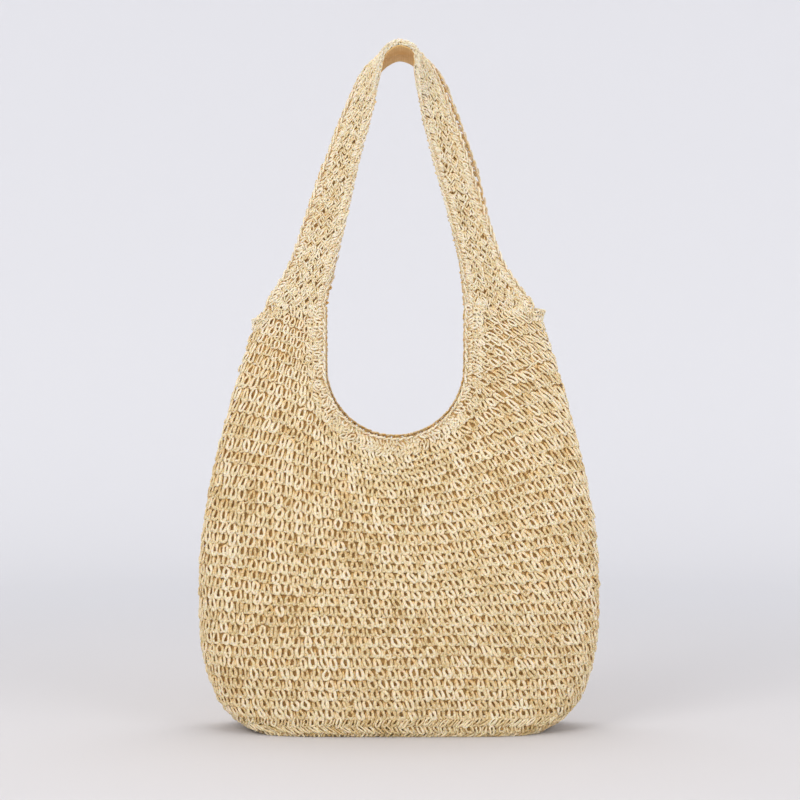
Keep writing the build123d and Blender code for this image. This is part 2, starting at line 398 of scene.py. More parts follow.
class Yarn:
    """Collects loops and strands of yarn, and makes one mesh of them."""

    def __init__(self, name):
        self.name = name
        self.verts, self.faces, self.uvs, self.shade = [], [], [], []
        self.count = 0
        self.deep, self.caps = [], []

    def add(self, points, normals, closed, wide, thick, deep=None, sides=6):
        """points[strand, step] become tubes with an oval section that lies flat and rolls a little.

        Its painted-shade value, 0..1 at each point, makes the yarn's colour warmer and darker where the yarn
        lies low among the stitches, and a little more on each strand's underside.
        """
        strands, steps = points.shape[:2]
        if strands == 0:
            return
        if closed:
            tangent = np.roll(points, -1, axis=1) - np.roll(points, 1, axis=1)
        else:
            tangent = np.gradient(points, axis=1)
        tangent = unit(tangent)
        across = unit(np.cross(tangent, normals))
        out = np.cross(across, tangent)
        phase = np.linspace(0, 2 * np.pi, sides, endpoint=False)
        roll = ROLL * np.sin(6 * np.pi * np.arange(steps) / steps + phases(strands))[..., None]
        turn_c, turn_s = np.cos(roll), np.sin(roll)
        across, out = across * turn_c + out * turn_s, out * turn_c - across * turn_s
        wide = np.broadcast_to(np.asarray(wide, float), (strands, steps))[..., None, None]
        thick = np.broadcast_to(np.asarray(thick, float), (strands, steps))[..., None, None]
        section = (across[:, :, None] * np.cos(phase)[None, None, :, None] * wide
                   + out[:, :, None] * np.sin(phase)[None, None, :, None] * thick)
        verts = points[:, :, None] + section
        index = np.arange(strands * steps * sides).reshape(strands, steps, sides) + self.count
        nxt = np.roll(index, -1, axis=1) if closed else index[:, 1:]
        cur = index if closed else index[:, :-1]
        quads = np.stack([cur, np.roll(cur, -1, axis=2), np.roll(nxt, -1, axis=2), nxt], axis=-1)
        self.verts.append(verts.reshape(-1, 3))
        deep = np.zeros((strands, steps)) if deep is None else np.broadcast_to(deep, (strands, steps))
        # Painted shade: the side of each strand that faces in, away from the light, is made warmer and
        # darker.
        self.deep.append(np.clip(deep[:, :, None] - 0.12 * np.sin(phase), 0, 1).reshape(-1))
        self.faces.append(quads.reshape(-1, 4))
        length = np.linalg.norm(np.diff(points, axis=1), axis=2).cumsum(axis=1)
        length = np.concatenate([np.zeros((strands, 1)), length], axis=1)
        row = length[:, :, None] + RNG.uniform(0, RANDOM_START, strands)[:, None, None]
        around = np.broadcast_to(np.arange(sides) / sides, verts.shape[:3]) + TWIST * length[:, :, None]
        start = np.stack([np.broadcast_to(row, verts.shape[:3]), around], axis=-1)
        step = np.linalg.norm(np.roll(points, -1, axis=1) - points, axis=2)[:, :, None]
        if not closed:
            start, step = start[:, :-1], step[:, :-1]
        step = np.broadcast_to(step, start.shape[:3])
        end = start + np.stack([step, TWIST * step], axis=-1)
        facet = np.array([0, 1 / sides])
        corners = np.stack([start, start + facet, end + facet, end], axis=-2)
        self.uvs.append(corners.reshape(-1, 2))
        # Painted light and shade by height, added to a random tone for each strand: paler up in the handles,
        # darker at the base.
        height = points[:, :, 2].mean(axis=1)
        pale = (PAINTED_LIGHT * smooth_step((height - LIGHT_FROM) / LIGHT_RANGE)
                - PAINTED_SHADE * smooth_step((SHADE_FROM - height) / SHADE_RANGE))
        self.shade.append(np.repeat(RNG.uniform(0, 1, strands) + pale, cur.shape[1] * sides * 4))
        self.count += strands * steps * sides
        if not closed:
            self.caps += [*index[:, 0, ::-1], *index[:, -1]]

    def lay(self, sheet, centres, gauge, stitch, closed, wide, thick, shade):
        """Strands (s, r, n) about each centre (u, v), in stitch widths, row heights and mm.

        shade gives the distance below the surface at which painted shade starts to make a strand warmer and
        darker, and the further distance over which it grows to full.
        """
        (u, v), (s, r, n) = centres, stitch
        points, normals = sheet.at(u[:, None] + s * gauge[0], v[:, None] + r * gauge[1], n)
        self.add(points, normals, closed, wide, thick, deep=(-shade[0] - n) / shade[1])

    def mesh(self, material):
        """One object with every strand collected so far."""
        verts = np.concatenate(self.verts) * MM
        quads = np.concatenate(self.faces)
        data = bpy.data.meshes.new(self.name)
        cap_sizes = np.array([len(cap) for cap in self.caps], int)
        sizes = np.concatenate([np.full(len(quads), 4), cap_sizes]).astype(np.int32)
        loops = np.concatenate([quads.reshape(-1)] + self.caps).astype(np.int32)
        data.vertices.add(len(verts))
        data.vertices.foreach_set("co", verts.astype(np.float32).reshape(-1))
        data.loops.add(len(loops))
        data.loops.foreach_set("vertex_index", loops)
        data.polygons.add(len(sizes))
        starts = np.concatenate([[0], np.cumsum(sizes)[:-1]]).astype(np.int32)
        data.polygons.foreach_set("loop_start", starts)
        data.update(calc_edges=True)
        data.validate()
        uv = data.uv_layers.new(name="yarn")
        coords = np.concatenate(self.uvs)
        spare = np.zeros((len(loops) - len(coords), 2))
        uv.data.foreach_set("uv", np.concatenate([coords, spare]).astype(np.float32).reshape(-1))
        tone = data.attributes.new("tone", "FLOAT", "CORNER")
        tones = np.concatenate(self.shade + [np.full(len(spare), 0.5)])
        tone.data.foreach_set("value", tones.astype(np.float32))
        deep = data.attributes.new("deep", "FLOAT", "POINT")
        deep.data.foreach_set("value", np.concatenate(self.deep).astype(np.float32))
        data.polygons.foreach_set("use_smooth", np.ones(len(sizes), bool))
        data.materials.append(material)
        return new_object(self.name, data)


# Each stitch is a line (s, r, n): s along the row in stitch widths, r up it in row heights, n out in mm.


def loop_stitch(steps, open_share, lean, tuck, tall):
    """A loop whose foot bulges over the row below, and whose top is tucked in."""
    t = np.linspace(0, 2 * np.pi, steps, endpoint=False)
    height = (1 - np.cos(t)) / 2
    r = -0.17 + tall * height
    s = open_share[:, None] * np.sin(t) * (1 + 0.12 * np.cos(t))
    s = s + lean[:, None] * (r - 0.40)
    n = 0.75 - tuck * height ** 2.0 - 0.5 * (1 - height) ** 6
    return s, np.broadcast_to(r, s.shape), np.broadcast_to(n, s.shape)


def stitch_rows(yarn, sheet, centres, gauge, wide, thick, open_share, lean, jitter=0.05, steps=14,
                depth=1.4, tuck=1.9, tall=1.10):
    """A loop for every centre (u, v), where gauge is (stitch width, row height) in u and v."""
    count = len(centres[0])
    s, r, n = loop_stitch(steps, np.full(count, open_share), lean, tuck, tall)
    s = s * (1 + scatter(0.10, count)) + scatter(jitter, count)
    s = s + scatter(0.10, count) * (r - 0.45)
    t = np.linspace(0, 2 * np.pi, steps, endpoint=False)[None]
    for turns, size in WOBBLE:
        s = s + size * np.sin(turns * t + phases(count))
        r = r + size * np.sin(turns * t + phases(count))
        n = n + 9 * size * np.sin(turns * t + phases(count))
    r = r * (1 + scatter(0.06, count)) + scatter(1.3 * jitter, count)
    n = n + scatter(0.9, count) * s + scatter(0.25, count) - depth
    swell = 0.15 * np.sin(np.linspace(0, 6 * np.pi, steps)[None] + phases(count))
    wide = wide * (1 + scatter(0.08, count)) * (1 + swell)
    yarn.lay(sheet, centres, gauge, (s, r, n), True, wide, thick * (1 - swell), (0.9, 2.6))


def tie_strands(yarn, sheet, centres, gauge, wide, thick, lean, top=0.55, depth=1.4):
    """The strand that rises behind and between the feet of two neighbouring loops."""
    count = len(centres[0])
    r = np.linspace(-0.15, top, 5)[None]
    s = 0.5 + lean[:, None] * (r - 0.40) + scatter(0.10, count) * np.sin(4 * r) + scatter(0.05, count)
    n = -0.2 - 1.2 * ((r + 0.15) / (top + 0.15)) ** 2 + scatter(0.25, count) - depth
    r = r + scatter(0.05, count)
    taper = np.array([0.85, 1.0, 1.0, 0.9, 0.6])[None]
    yarn.lay(sheet, centres, gauge, (s, r, n), False, wide * taper, thick * taper, (0.7, 2.6))


def slant_strands(yarn, sheet, centres, gauge, wide, thick, lean, depth=1.4):
    """A short bowed strand over each centre that leans, with both its ends tucked in."""
    count = len(centres[0])
    t = np.linspace(-0.5, 0.5, 7)[None]
    long = t * 1.25 * (1 + scatter(0.15, count))
    s = lean[:, None] * long + scatter(0.35, count) * (0.25 - t * t) + scatter(0.10, count)
    r = 0.45 + long + scatter(0.10, count)
    n = 0.5 - 5.2 * t * t + scatter(0.35, count) - depth
    taper = 1 - 0.45 * np.abs(2 * t) ** 3
    wide = wide * (1 + scatter(0.12, count)) * taper
    yarn.lay(sheet, centres, gauge, (s, r, n), False, wide, thick * taper, (0.9, 2.6))


def chain_links(yarn, sheet, centres, gauge, wide, thick, lift=0.0):
    """A slanting link behind the foot of each stitch."""
    count = len(centres[0])
    reach = 0.62
    s = np.linspace(-reach, reach, 6)[None]
    turn = s * np.pi / (2 * reach)
    r = (0.11 + scatter(0.05, count)) * np.sin(turn) + scatter(0.04, count) + 0.03
    n = 0.45 * np.cos(turn) - 0.65 * s - 2.1 + lift + scatter(0.18, count)
    taper = 1 - 0.4 * np.abs(s / reach) ** 3
    yarn.lay(sheet, centres, gauge, (s, r, n), False, wide * taper, thick * taper, (1.4, 3))


def edge_chain(yarn, sheet, u, v, gauge, wide=0.95, sway=1.3):
    """The braid along an open edge: a slanting link in front, and another behind it."""
    count = len(u)
    reach = 0.66
    t = np.linspace(-reach, reach, 9)[None]
    turn = t * np.pi / (2 * reach)
    taper = 1 - 0.5 * np.abs(t / reach) ** 3
    place = (u, np.full(count, v))
    for offset, depth, swing in ((0.0, 0.0, sway), (0.5, -1.5, -0.5)):
        r = swing * np.sin(turn) - 0.25 + scatter(0.3, count)
        n = 0.7 * np.cos(turn) - 0.8 * t - 0.9 + depth + scatter(0.15, count)
        s = t + offset + scatter(0.06, count)
        own = wide * (1 + scatter(0.12, count)) * taper
        yarn.lay(sheet, place, gauge, (s, r, n), False, own, YARN_THICK * 0.9 * taper, (0.8, 3))


# ---------------------------------------------------------------- materials


class Paint:
    """A material, and short ways to add nodes to it."""

    def __init__(self, name):
        self.material = bpy.data.materials.new(name)
        self.material.use_nodes = True
        self.tree = self.material.node_tree
        self.shader = self.tree.nodes["Principled BSDF"]

    def feed(self, socket, value):
        """Links an input to another node's output, or gives it a value."""
        if isinstance(value, bpy.types.NodeSocket):
            self.tree.links.new(value, socket)
        else:
            socket.default_value = value

    def set(self, node, **inputs):
        """Feeds a node's inputs, whose names have _ for a space."""
        for key, value in inputs.items():
            self.feed(node.inputs[key.replace("_", " ")], value)

    def node(self, kind, output, settings=(), **inputs):
        """Adds a node, and gives one of its outputs."""
        node = self.tree.nodes.new("ShaderNode" + kind)
        for key, value in dict(settings).items():
            setattr(node, key, value)
        self.set(node, **inputs)
        return node.outputs[output]

    def maths(self, operation, *values):
        node = self.tree.nodes.new("ShaderNodeMath")
        node.operation = operation
        for socket, value in zip(node.inputs, values):
            self.feed(socket, value)
        return node.outputs["Value"]

    def ramp(self, value, *stops):
        """A colour ramp over a value, with stops of (place, colour)."""
        node = self.tree.nodes.new("ShaderNodeValToRGB")
        elements = node.color_ramp.elements
        while len(elements) < len(stops):
            elements.new(0.5)
        for element, (place, colour) in zip(elements, stops):
            element.position = place
            element.color = (*colour, 1)
        self.set(node, Fac=value)
        return node.outputs["Color"]

    def bump(self, height, strength, metres):
        normal = self.node("Bump", "Normal", Height=height, Strength=strength, Distance=metres)
        self.set(self.shader, Normal=normal)


def straw_material(name, dark, mid, pale):
    """Twisted paper straw: creases along the strand, a tone for every loop, and painted shade that makes it
    warmer and darker where it dives in among the stitches.
    """
    paint = Paint(name)
    uv = paint.node("UVMap", "UV", {"uv_map": "yarn"})
    place = paint.node("TexCoord", "Object")
    tone = paint.node("Attribute", "Fac", {"attribute_name": "tone"})
    deep = paint.node("Attribute", "Fac", {"attribute_name": "deep"})
    creases = paint.node("Mapping", "Vector", Vector=uv, Scale=(0.30, 7.0, 1))
    crease = paint.node("TexNoise", "Fac", Vector=creases, Scale=1.0, Detail=3.0, Roughness=0.65)
    flecks = paint.node("Mapping", "Vector", Vector=uv, Scale=(0.55, 2.0, 1))
    fleck = paint.node("TexNoise", "Fac", Vector=flecks, Scale=1.0, Detail=1.0)
    patch = paint.node("TexNoise", "Fac", Vector=place, Scale=26.0, Detail=2.0)
    value = paint.maths("MULTIPLY", patch, 0.18)
    for part, share in ((crease, 0.55), (fleck, 0.42), (tone, 0.20)):
        value = paint.maths("MULTIPLY_ADD", part, share, value)
    colour = paint.ramp(value, (0.48, dark), (0.64, mid), (0.84, pale))
    # Painted shade: yarn lying deep among the stitches is multiplied toward a warm brown, as if in shadow.
    colour = paint.node("Mix", "Result", {"data_type": "RGBA", "blend_type": "MULTIPLY"},
                        Factor=deep, A=colour, B=(*SHADE_WARMTH, 1))
    paint.bump(crease, 0.8, 0.0006)
    paint.set(paint.shader, Base_Color=colour, Roughness=0.58, Specular_IOR_Level=0.32,
              Subsurface_Weight=0.22, Subsurface_Radius=(1.0, 0.62, 0.25), Subsurface_Scale=0.0016)
    return paint.material


def cloth_material(name, low, high, threads=900.0, sheen=0.15):
    """Plain woven cotton: crossing threads and soft tone changes. threads is how many to a metre."""
    paint = Paint(name)
    place = paint.node("TexCoord", "Object")
    waves = [paint.node("TexWave", "Fac", {"bands_direction": direction}, Vector=place,
                        Scale=threads / 6.3, Distortion=1.0, Detail=1.0) for direction in ("X", "Z")]
    weave = paint.maths("MULTIPLY", *waves)
    noise = paint.node("TexNoise", "Fac", Vector=place, Scale=60.0, Detail=4.0)
    colour = paint.ramp(paint.maths("MULTIPLY_ADD", weave, 0.35, noise), (0.35, low), (0.85, high))
    paint.bump(weave, 0.35, 0.0003)
    paint.set(paint.shader, Base_Color=colour, Roughness=0.85, Sheen_Weight=sheen)
    return paint.material


def metal_material():
    """Satin light-gold plating with a fine grain."""
    paint = Paint("snap_plating")
    place = paint.node("TexCoord", "Object")
    noise = paint.node("TexNoise", "Fac", Vector=place, Scale=900.0, Detail=3.0)
    colour = paint.ramp(noise, (0.3, (0.52, 0.40, 0.18)), (0.7, (0.66, 0.54, 0.30)))
    paint.set(paint.shader, Base_Color=colour, Metallic=1.0, Roughness=0.32)
    return paint.material


# The warm brown that the painted shade multiplies into yarn lying deep among the stitches.
SHADE_WARMTH = (0.95, 0.66, 0.24)
STRAW = straw_material("straw", (0.54, 0.37, 0.15), (0.79, 0.63, 0.37), (0.90, 0.79, 0.59))
EDGE_STRAW = straw_material("straw_edging", (0.58, 0.42, 0.21), (0.79, 0.66, 0.44), (0.90, 0.79, 0.60))
LINING = cloth_material("lining_cotton", (0.72, 0.44, 0.15), (0.82, 0.54, 0.21))
TAPE = cloth_material("tape_cotton", (0.70, 0.43, 0.15), (0.80, 0.53, 0.22), sheen=0.05)
METAL = metal_material()


# ---------------------------------------------------------------- crochet pieces


def above_fold(z):
    return z > HINGE_Z - FOLD_HALF


def crochet_body(yarns):
    """Rounds of stitches from the base to the necks, left open at the mouth."""
    heights = row_heights()
    rows = len(heights) - 1
    sheet = body_sheet(heights)
    gauge = (1 / ROUND_STITCHES, 1 / rows)
    around = np.linalg.norm(np.diff(sheet.points, axis=1), axis=2).sum(axis=1)
    for row in range(rows):
        u = (np.arange(ROUND_STITCHES) + 0.25 + SPIRAL * row) / ROUND_STITCHES
        v = np.full(ROUND_STITCHES, row / rows)
        x, y, z = sheet.place(u, v + 0.5 / rows).T
        rise = np.where(y > 0, BACK_RIM_RISE, 0)
        clear = (mouth_distance(x, z, rise) > RIM_WIDTH - 4) & (z < NECK_TOP - 1)
        # The loops lean more at the shoulders and to the right, and are drawn in near the necks.
        shoulder = smooth_step((z - SHOULDER_FROM) / SHOULDER_RANGE)
        right = np.clip(x * np.where(y < 0, 1, -1) / 90, -1, 1)
        lean = LEAN + LEAN_RIGHT * right + shoulder * (SHOULDER_LEAN + SHOULDER_LEAN_RIGHT * right)
        drawn_in = float(smooth_step((heights[row] - DRAWN_FROM) / DRAWN_RANGE))
        pitch = around[LINES_PER_ROW * row] / ROUND_STITCHES
        wide = float(np.clip(BODY_YARN * pitch, LEAST_YARN, YARN_WIDE)) * (1 - 0.20 * drawn_in)
        thick = YARN_THICK * (0.4 + 0.6 * wide / YARN_WIDE)
        high = above_fold(z)
        groups = (("body", ~high), ("front", high & (y <= 0)), ("back", high & (y > 0)))
        for name, group in groups:
            pick = clear & group
            place = (u[pick], v[pick])
            stitch_rows(yarns[name], sheet, place, gauge, wide, thick, 0.282 - 0.02 * drawn_in,
                        lean[pick], jitter=0.05 + 0.03 * drawn_in, tuck=1.35 - 0.1 * drawn_in,
                        tall=1.08 - 0.04 * drawn_in)
            tie_strands(yarns[name], sheet, place, gauge, wide * 0.9, thick, lean[pick],
                        top=0.62 + 0.3 * drawn_in)
            chain_links(yarns[name], sheet, place, gauge, wide * 0.8, thick)


def crochet_base(yarn):
    """Dense short stitches that zigzag, from the middle of the base up its rolled edge."""
    sheet, length = base_sheet()
    rows = round(length / BASE_ROW)
    wide = YARN_WIDE * 0.63
    for row in range(rows):
        ring = sheet.points[round((len(sheet.points) - 1) * (row + 0.5) / rows)]
        count = round(run_length(ring)[-1] / BASE_STITCH)
        u = (np.arange(count) + 0.5 * (row % 2)) / count
        v = np.full(count, row / rows)
        lean = np.full(count, 0.6 if row % 2 else -0.7)
        gauge = (1 / count, 1.08 / rows)
        stitch_rows(yarn, sheet, (u, v), gauge, wide, YARN_THICK, 0.29, lean, depth=0.6, jitter=0.08)
        tie_strands(yarn, sheet, (u, v), gauge, wide, YARN_THICK * 0.9, lean, top=0.85, depth=0.6)
        chain_links(yarn, sheet, (u, v), gauge, wide * 0.9, YARN_THICK * 0.8, lift=0.6)
        behind = (u + 0.5 / count, v + 0.4 / rows)
        stitch_rows(yarn, sheet, behind, gauge, wide, YARN_THICK, 0.25, -lean, depth=2.9, jitter=0.08)


def crochet_rim(side, low, high):
    """Tight posts across the rim, and the chain along the mouth's edge."""
    sheet, total = rim_sheet(side)
    count = int(total / RIM_STITCH)
    gauge = (1 / count, 0.46)
    thin, flat = YARN_WIDE * 0.72, YARN_THICK * 0.8
    for start, lean in ((-0.18, 0.6), (0.20, 0.1), (0.58, -0.3)):
        u = (np.arange(count) + RNG.uniform(0.3, 0.7) + RNG.normal(0, 0.12, count)) / count
        up = above_fold(sheet.place(u, 0.5)[:, 2])
        for yarn, pick in ((low, ~up), (high, up)):
            place = (u[pick], np.full(pick.sum(), start))
            leans = lean + RNG.normal(0, 0.3, pick.sum())
            stitch_rows(yarn, sheet, place, gauge, thin, flat, 0.28, leans, jitter=0.13, steps=10)
            tie_strands(yarn, sheet, place, gauge, thin, flat, leans, top=0.7)
    links = int(total / RIM_LINK)
    u = spaced(links)
    up = above_fold(sheet.place(u, 1.0)[:, 2])
    for yarn, pick in ((low, ~up), (high, up)):
        edge_chain(yarn, sheet, u[pick], 1.0, (1 / links, 1 / RIM_WIDTH), sway=1.3 if side < 0 else 2.0)


def crochet_handle(side, band, outer_edge, inner_edge):
    """Both legs of one handle: short crossing strands and small rings between two braided edges."""
    thin, flat = YARN_WIDE * 0.57, YARN_THICK * 0.85
    for leg in (-1, 1):
        sheet, length = handle_sheet(side, leg)
        outer_last = leg * side < 0
        rows = int(length / HANDLE_ROW)
        widths = np.linalg.norm(sheet.points[:, -1] - sheet.points[:, 0], axis=1)
        for row in range(-2, rows):
            width = np.interp(row / rows, np.linspace(0, 1, len(widths)), widths)
            margin = HANDLE_MARGIN / width
            columns = max(4, int((width - 2 * HANDLE_MARGIN) / HANDLE_STITCH))
            column = np.arange(columns)
            span = (1 - 2 * margin) / columns
            slope = 0.35 * np.sin(row * 1.7) * (column / columns - 0.5)
            u = margin + (column + 0.25 + 0.5 * (row % 2)) * span
            v = (row + slope + RNG.normal(0, 0.10, columns)) / rows
            lean = np.where((column + row) % 2 == 0, 0.75, -0.75) + RNG.normal(0, 0.2, columns)
            gauge = (span, 1.1 / rows)
            tie_strands(band, sheet, (u, v), gauge, thin, flat, -lean, top=1.0)
            ring = RNG.uniform(0, 1, columns) < 0.30
            for under, way in ((0.9, -1), (0.0, 1)):
                place = (u[~ring] + under * 0.5 * span, v[~ring] + under * 0.4 / rows)
                slant_strands(band, sheet, place, gauge, thin, flat, way * lean[~ring],
                              depth=1.4 + 0.7 * under)
            stitch_rows(band, sheet, (u[ring], v[ring]), gauge, thin, flat, 0.32, 0.5 * lean[ring],
                        jitter=0.13, steps=12, tuck=1.2)
        handle_edge(sheet, length, outer_edge, outer_last, OUTER_EDGING, sway=1.4)
        handle_edge(sheet, length, inner_edge, not outer_last, INNER_EDGING, sway=1.7 if leg < 0 else 0.9)
        edge_wall(sheet, length, inner_edge, not outer_last)


def edge_wall(sheet, length, yarn, last_side):
    """Stitches round the side of the band, from its face to the tape behind it."""
    column, beside = (-1, -2) if last_side else (0, 1)
    edge, inside = sheet.points[:, column], sheet.points[:, beside]
    outward = (edge - inside) / np.linalg.norm(edge - inside, axis=1, keepdims=True)
    across = np.linspace(0, 1, 5)[:, None, None]
    risen = smooth_step((edge[:, 2] - NECK_TOP) / 50)[None, :, None]
    proud = risen * (1.4 + 0.3 * np.sin(np.pi * across)) - 0.9
    points = edge + outward * proud + sheet.normal[:, column] * (0.3 - SIDE_DEEP * across)
    wall = Sheet(points)
    if (wall.normal[2] * outward).sum() < 0:
        wall = Sheet(points[:, ::-1])
    count = int(length / SIDE_STITCH)
    u, thin, flat = spaced(count), YARN_WIDE * 0.55, YARN_THICK * 0.7
    for foot, lean in ((0.0, 0.6), (0.45, -0.5)):
        slant_strands(yarn, wall, (u, np.full(count, foot)), (1 / count, 0.55), thin, flat,
                      np.full(count, lean), depth=0.9)
    tie_strands(yarn, wall, (u, np.zeros(count)), (1 / count, 0.95), YARN_WIDE * 0.6, flat,
                np.full(count, 0.4), top=1.0, depth=1.2)
    links = int(length / SIDE_LINK)
    for row, v in enumerate((0.16, 0.50, 0.84)):
        u = np.clip(spaced(links) + 0.33 * row / links, 0, 1)
        under_top = wall.place(u, v)[:, 2] > SIDE_BRAID_FROM
        edge_chain(yarn, wall, u[under_top], v, (1 / links, 1 / SIDE_DEEP), wide=0.8, sway=0.7)


class Turned:
    """A sheet turned a quarter: u goes up it, and v is in mm, 0 on one of its sides and positive outward."""

    def __init__(self, sheet, last_side):
        self.sheet, self.last_side = sheet, last_side
        self.widths = np.linalg.norm(sheet.points[:, -1] - sheet.points[:, 0], axis=1)

    def at(self, u, v, lift):
        width = np.interp(u, np.linspace(0, 1, len(self.widths)), self.widths)
        across = 1 + v / width if self.last_side else -v / width
        inside = np.clip(across, 0, 1)
        base, normal = self.sheet.at(inside, u, lift)
        step = 0.02
        start = np.clip(inside, 0.0, 1 - step)
        near, _ = self.sheet.at(start, u, lift)
        far, _ = self.sheet.at(start + step, u, lift)
        return base + (far - near) / step * (across - inside)[..., None], normal


def handle_edge(sheet, length, yarn, last_side, edging, sway):
    """Short posts across the edging, and the braid along the band's side."""
    turned = Turned(sheet, last_side)
    spacing, open_share, lean, link = edging
    count = int(length / spacing)
    feet = np.full(count, -EDGING_TALL)
    stitch_rows(yarn, turned, (spaced(count), feet), (1 / count, EDGING_TALL), YARN_WIDE * 0.68,
                YARN_THICK * 0.8, open_share, np.full(count, lean), jitter=0.10, steps=10)
    links = int(length / link)
    edge_chain(yarn, turned, spaced(links), 0.0, (1 / links, 1.0), wide=0.85, sway=sway)


def corner_sheet(leg):
    """The little pointed edging at the top of each side, where the two handles part."""
    tip, proud = CORNER_TIPS[leg]
    rows = []
    spread = np.linspace(-0.42, 0.42, 41)
    angle = (math.pi if leg < 0 else 0.0) + spread
    for v in np.linspace(0, 1, 9):
        z = tip - 9 + 12 * v
        point = min(v / 0.75, (1 - v) / 0.25)
        bulge = proud * point ** 1.1 * np.cos(spread * 3.2) ** 4 + 0.4
        bulge = bulge - 2.5 * smooth_step((v - 0.75) / 0.25)
        x, y = oval(angle, *outline(min(z, NECK_TOP)))
        rows.append(np.stack([x + leg * bulge, y, np.full_like(x, z)], axis=1))
    return Sheet(np.array(rows))


def crochet_corner(leg, yarn):
    sheet = corner_sheet(leg)
    for row, count in ((0.0, 9), (0.45, 8)):
        place, gauge = (spaced(count), np.full(count, row)), (1 / count, 0.55)
        lean = np.full(count, 0.4)
        stitch_rows(yarn, sheet, place, gauge, YARN_WIDE * 0.45, YARN_THICK * 0.7, 0.28, lean,
                    jitter=0.08, depth=1.1)
        tie_strands(yarn, sheet, place, gauge, YARN_WIDE * 0.5, YARN_THICK * 0.7, lean, depth=1.1)
    edge_chain(yarn, sheet, spaced(6), 0.7, (1 / 6, 0.07), wide=0.6)


PLAIN_STRAW = ("body", "front", "back", "base")  # the other pieces have the edging's straw


def make_crochet():
    """The crocheted pieces by short name, in the order in which their yarn is drawn."""
    yarns = {name: Yarn(piece) for name, piece in (
        ("body", "body_straw"), ("front", "front_handle_straw"), ("back", "back_handle_straw"),
        ("base", "base_straw"), ("front_rim", "front_rim_straw"), ("back_rim", "back_rim_straw"),
        ("front_outer", "front_handle_outer_braid"), ("front_inner", "front_handle_inner_braid"),
        ("back_outer", "back_handle_outer_braid"), ("back_inner", "back_handle_inner_braid"),
        ("left_corner", "left_corner_straw"), ("right_corner", "right_corner_straw"))}
    crochet_body(yarns)
    crochet_base(yarns["base"])
    crochet_rim(-1, yarns["front_rim"], yarns["front_inner"])
    crochet_rim(1, yarns["back_rim"], yarns["back_inner"])
    crochet_handle(-1, yarns["front"], yarns["front_outer"], yarns["front_inner"])
    crochet_handle(1, yarns["back"], yarns["back_outer"], yarns["back_inner"])
    crochet_corner(-1, yarns["left_corner"])
    crochet_corner(1, yarns["right_corner"])
    for yarn in yarns.values():
        for block in yarn.verts:
            np.maximum(block[:, 2], LOWEST, out=block[:, 2])
    return {name: yarn.mesh(STRAW if name in PLAIN_STRAW else EDGE_STRAW) for name, yarn in yarns.items()}


PIECES = make_crochet()


# ---------------------------------------------------------------- cloth: tapes and lining


def sheet_object(name, points, material, thick, closed=False):
    """A cloth sheet from a grid of points in mm."""
    rows, columns = points.shape[:2]
    verts = (points.reshape(-1, 3) * MM).tolist()
    faces = []
    last = columns if closed else columns - 1
    for j in range(rows - 1):
        for i in range(last):
            k = (i + 1) % columns
            faces.append((j * columns + i, j * columns + k, (j + 1) * columns + k, (j + 1) * columns + i))
    data = bpy.data.meshes.new(name)
    data.from_pydata(verts, [], faces)
    data.materials.append(material)
    data.polygons.foreach_set("use_smooth", np.ones(len(faces), bool))
    piece = new_object(name, data)
    solid = piece.modifiers.new("thickness", "SOLIDIFY")
    solid.thickness = thick * MM
    solid.offset = 0
    return piece


TAPE_THICK = 0.8
TAPE_DEPTH = FACE_DEPTH + 2.9
TAPE_MARGIN = 0.15  # share of the band left free on each side of the tape, except at the top
TAPE_LAP = 3.2  # how far the tape is wrapped past the band's outer edge at the top
TAPE_POINTS = 11


def handle_tape(side, name):
    """Tape under both legs of one handle, in one length over the top, where it covers the whole band."""
    grids = []
    for leg in (-1, 1):
        sheet, _ = handle_sheet(side, leg)
        share = np.linspace(-0.06, 1, 86)
        margin = TAPE_MARGIN - TAPE_MARGIN * smooth_step((share - 0.62) / 0.25)
        u = margin[:, None] + (1 - 2 * margin[:, None]) * np.linspace(0, 1, TAPE_POINTS)[None]
        v = np.broadcast_to(share[:, None], u.shape)
        depth = TAPE_DEPTH + (0.6 if side < 0 else 0.0)
        points, _ = sheet.at(u, v, np.full(u.shape, -depth))
        lap = TAPE_LAP * smooth_step((share - 0.86) / 0.08)
        first_is_outer = np.abs(points[:, 0, 1]) < np.abs(points[:, -1, 1])
        column = np.where(first_is_outer, 0, TAPE_POINTS - 1)
        at = np.arange(len(share))
        toward = points[at, column] - points[at, TAPE_POINTS - 1 - column]
        toward /= np.linalg.norm(toward, axis=1, keepdims=True)
        points[at, column] += toward * lap[:, None]
        grids.append(points if leg < 0 else points[::-1])
    first, second = grids
    if np.linalg.norm(first[-1, 0] - second[0, 0]) > np.linalg.norm(first[-1, 0] - second[0, -1]):
        second = second[:, ::-1]
    return sheet_object(name, np.concatenate([first, second[1:]]), TAPE, TAPE_THICK)


LINING_THICK = 0.7
LINING_INSET = 5.2
LINING_TOP = 389.0
LINING_EDGE = 6.5  # how far the lining stops short of the mouth's edge
POCKET = (-70.0, 70.0, 110.0, 215.0)  # left, right, bottom and top
HEM = 10.0
POCKET_INSET, PATCH_INSET = 7.9, 7.1
PUCKER_LIMIT = 5.0  # the lining moves no further than this
PUCKER_STEPS = 18


def lining_inset(x, y, z):
    """The lining lies near the crochet, and comes in to meet the pocket and the snap's patches."""
    pocket = smooth_step((82 - np.abs(x)) / 14) * (y > 0)
    pocket = pocket * smooth_step((z - 98) / 14) * smooth_step((226 - z) / 14)
    patch = smooth_step((28 - np.abs(x - MOUTH_X)) / 12) * smooth_step((z - 222) / 12)
    return LINING_INSET + 1.7 * np.maximum(pocket, patch)


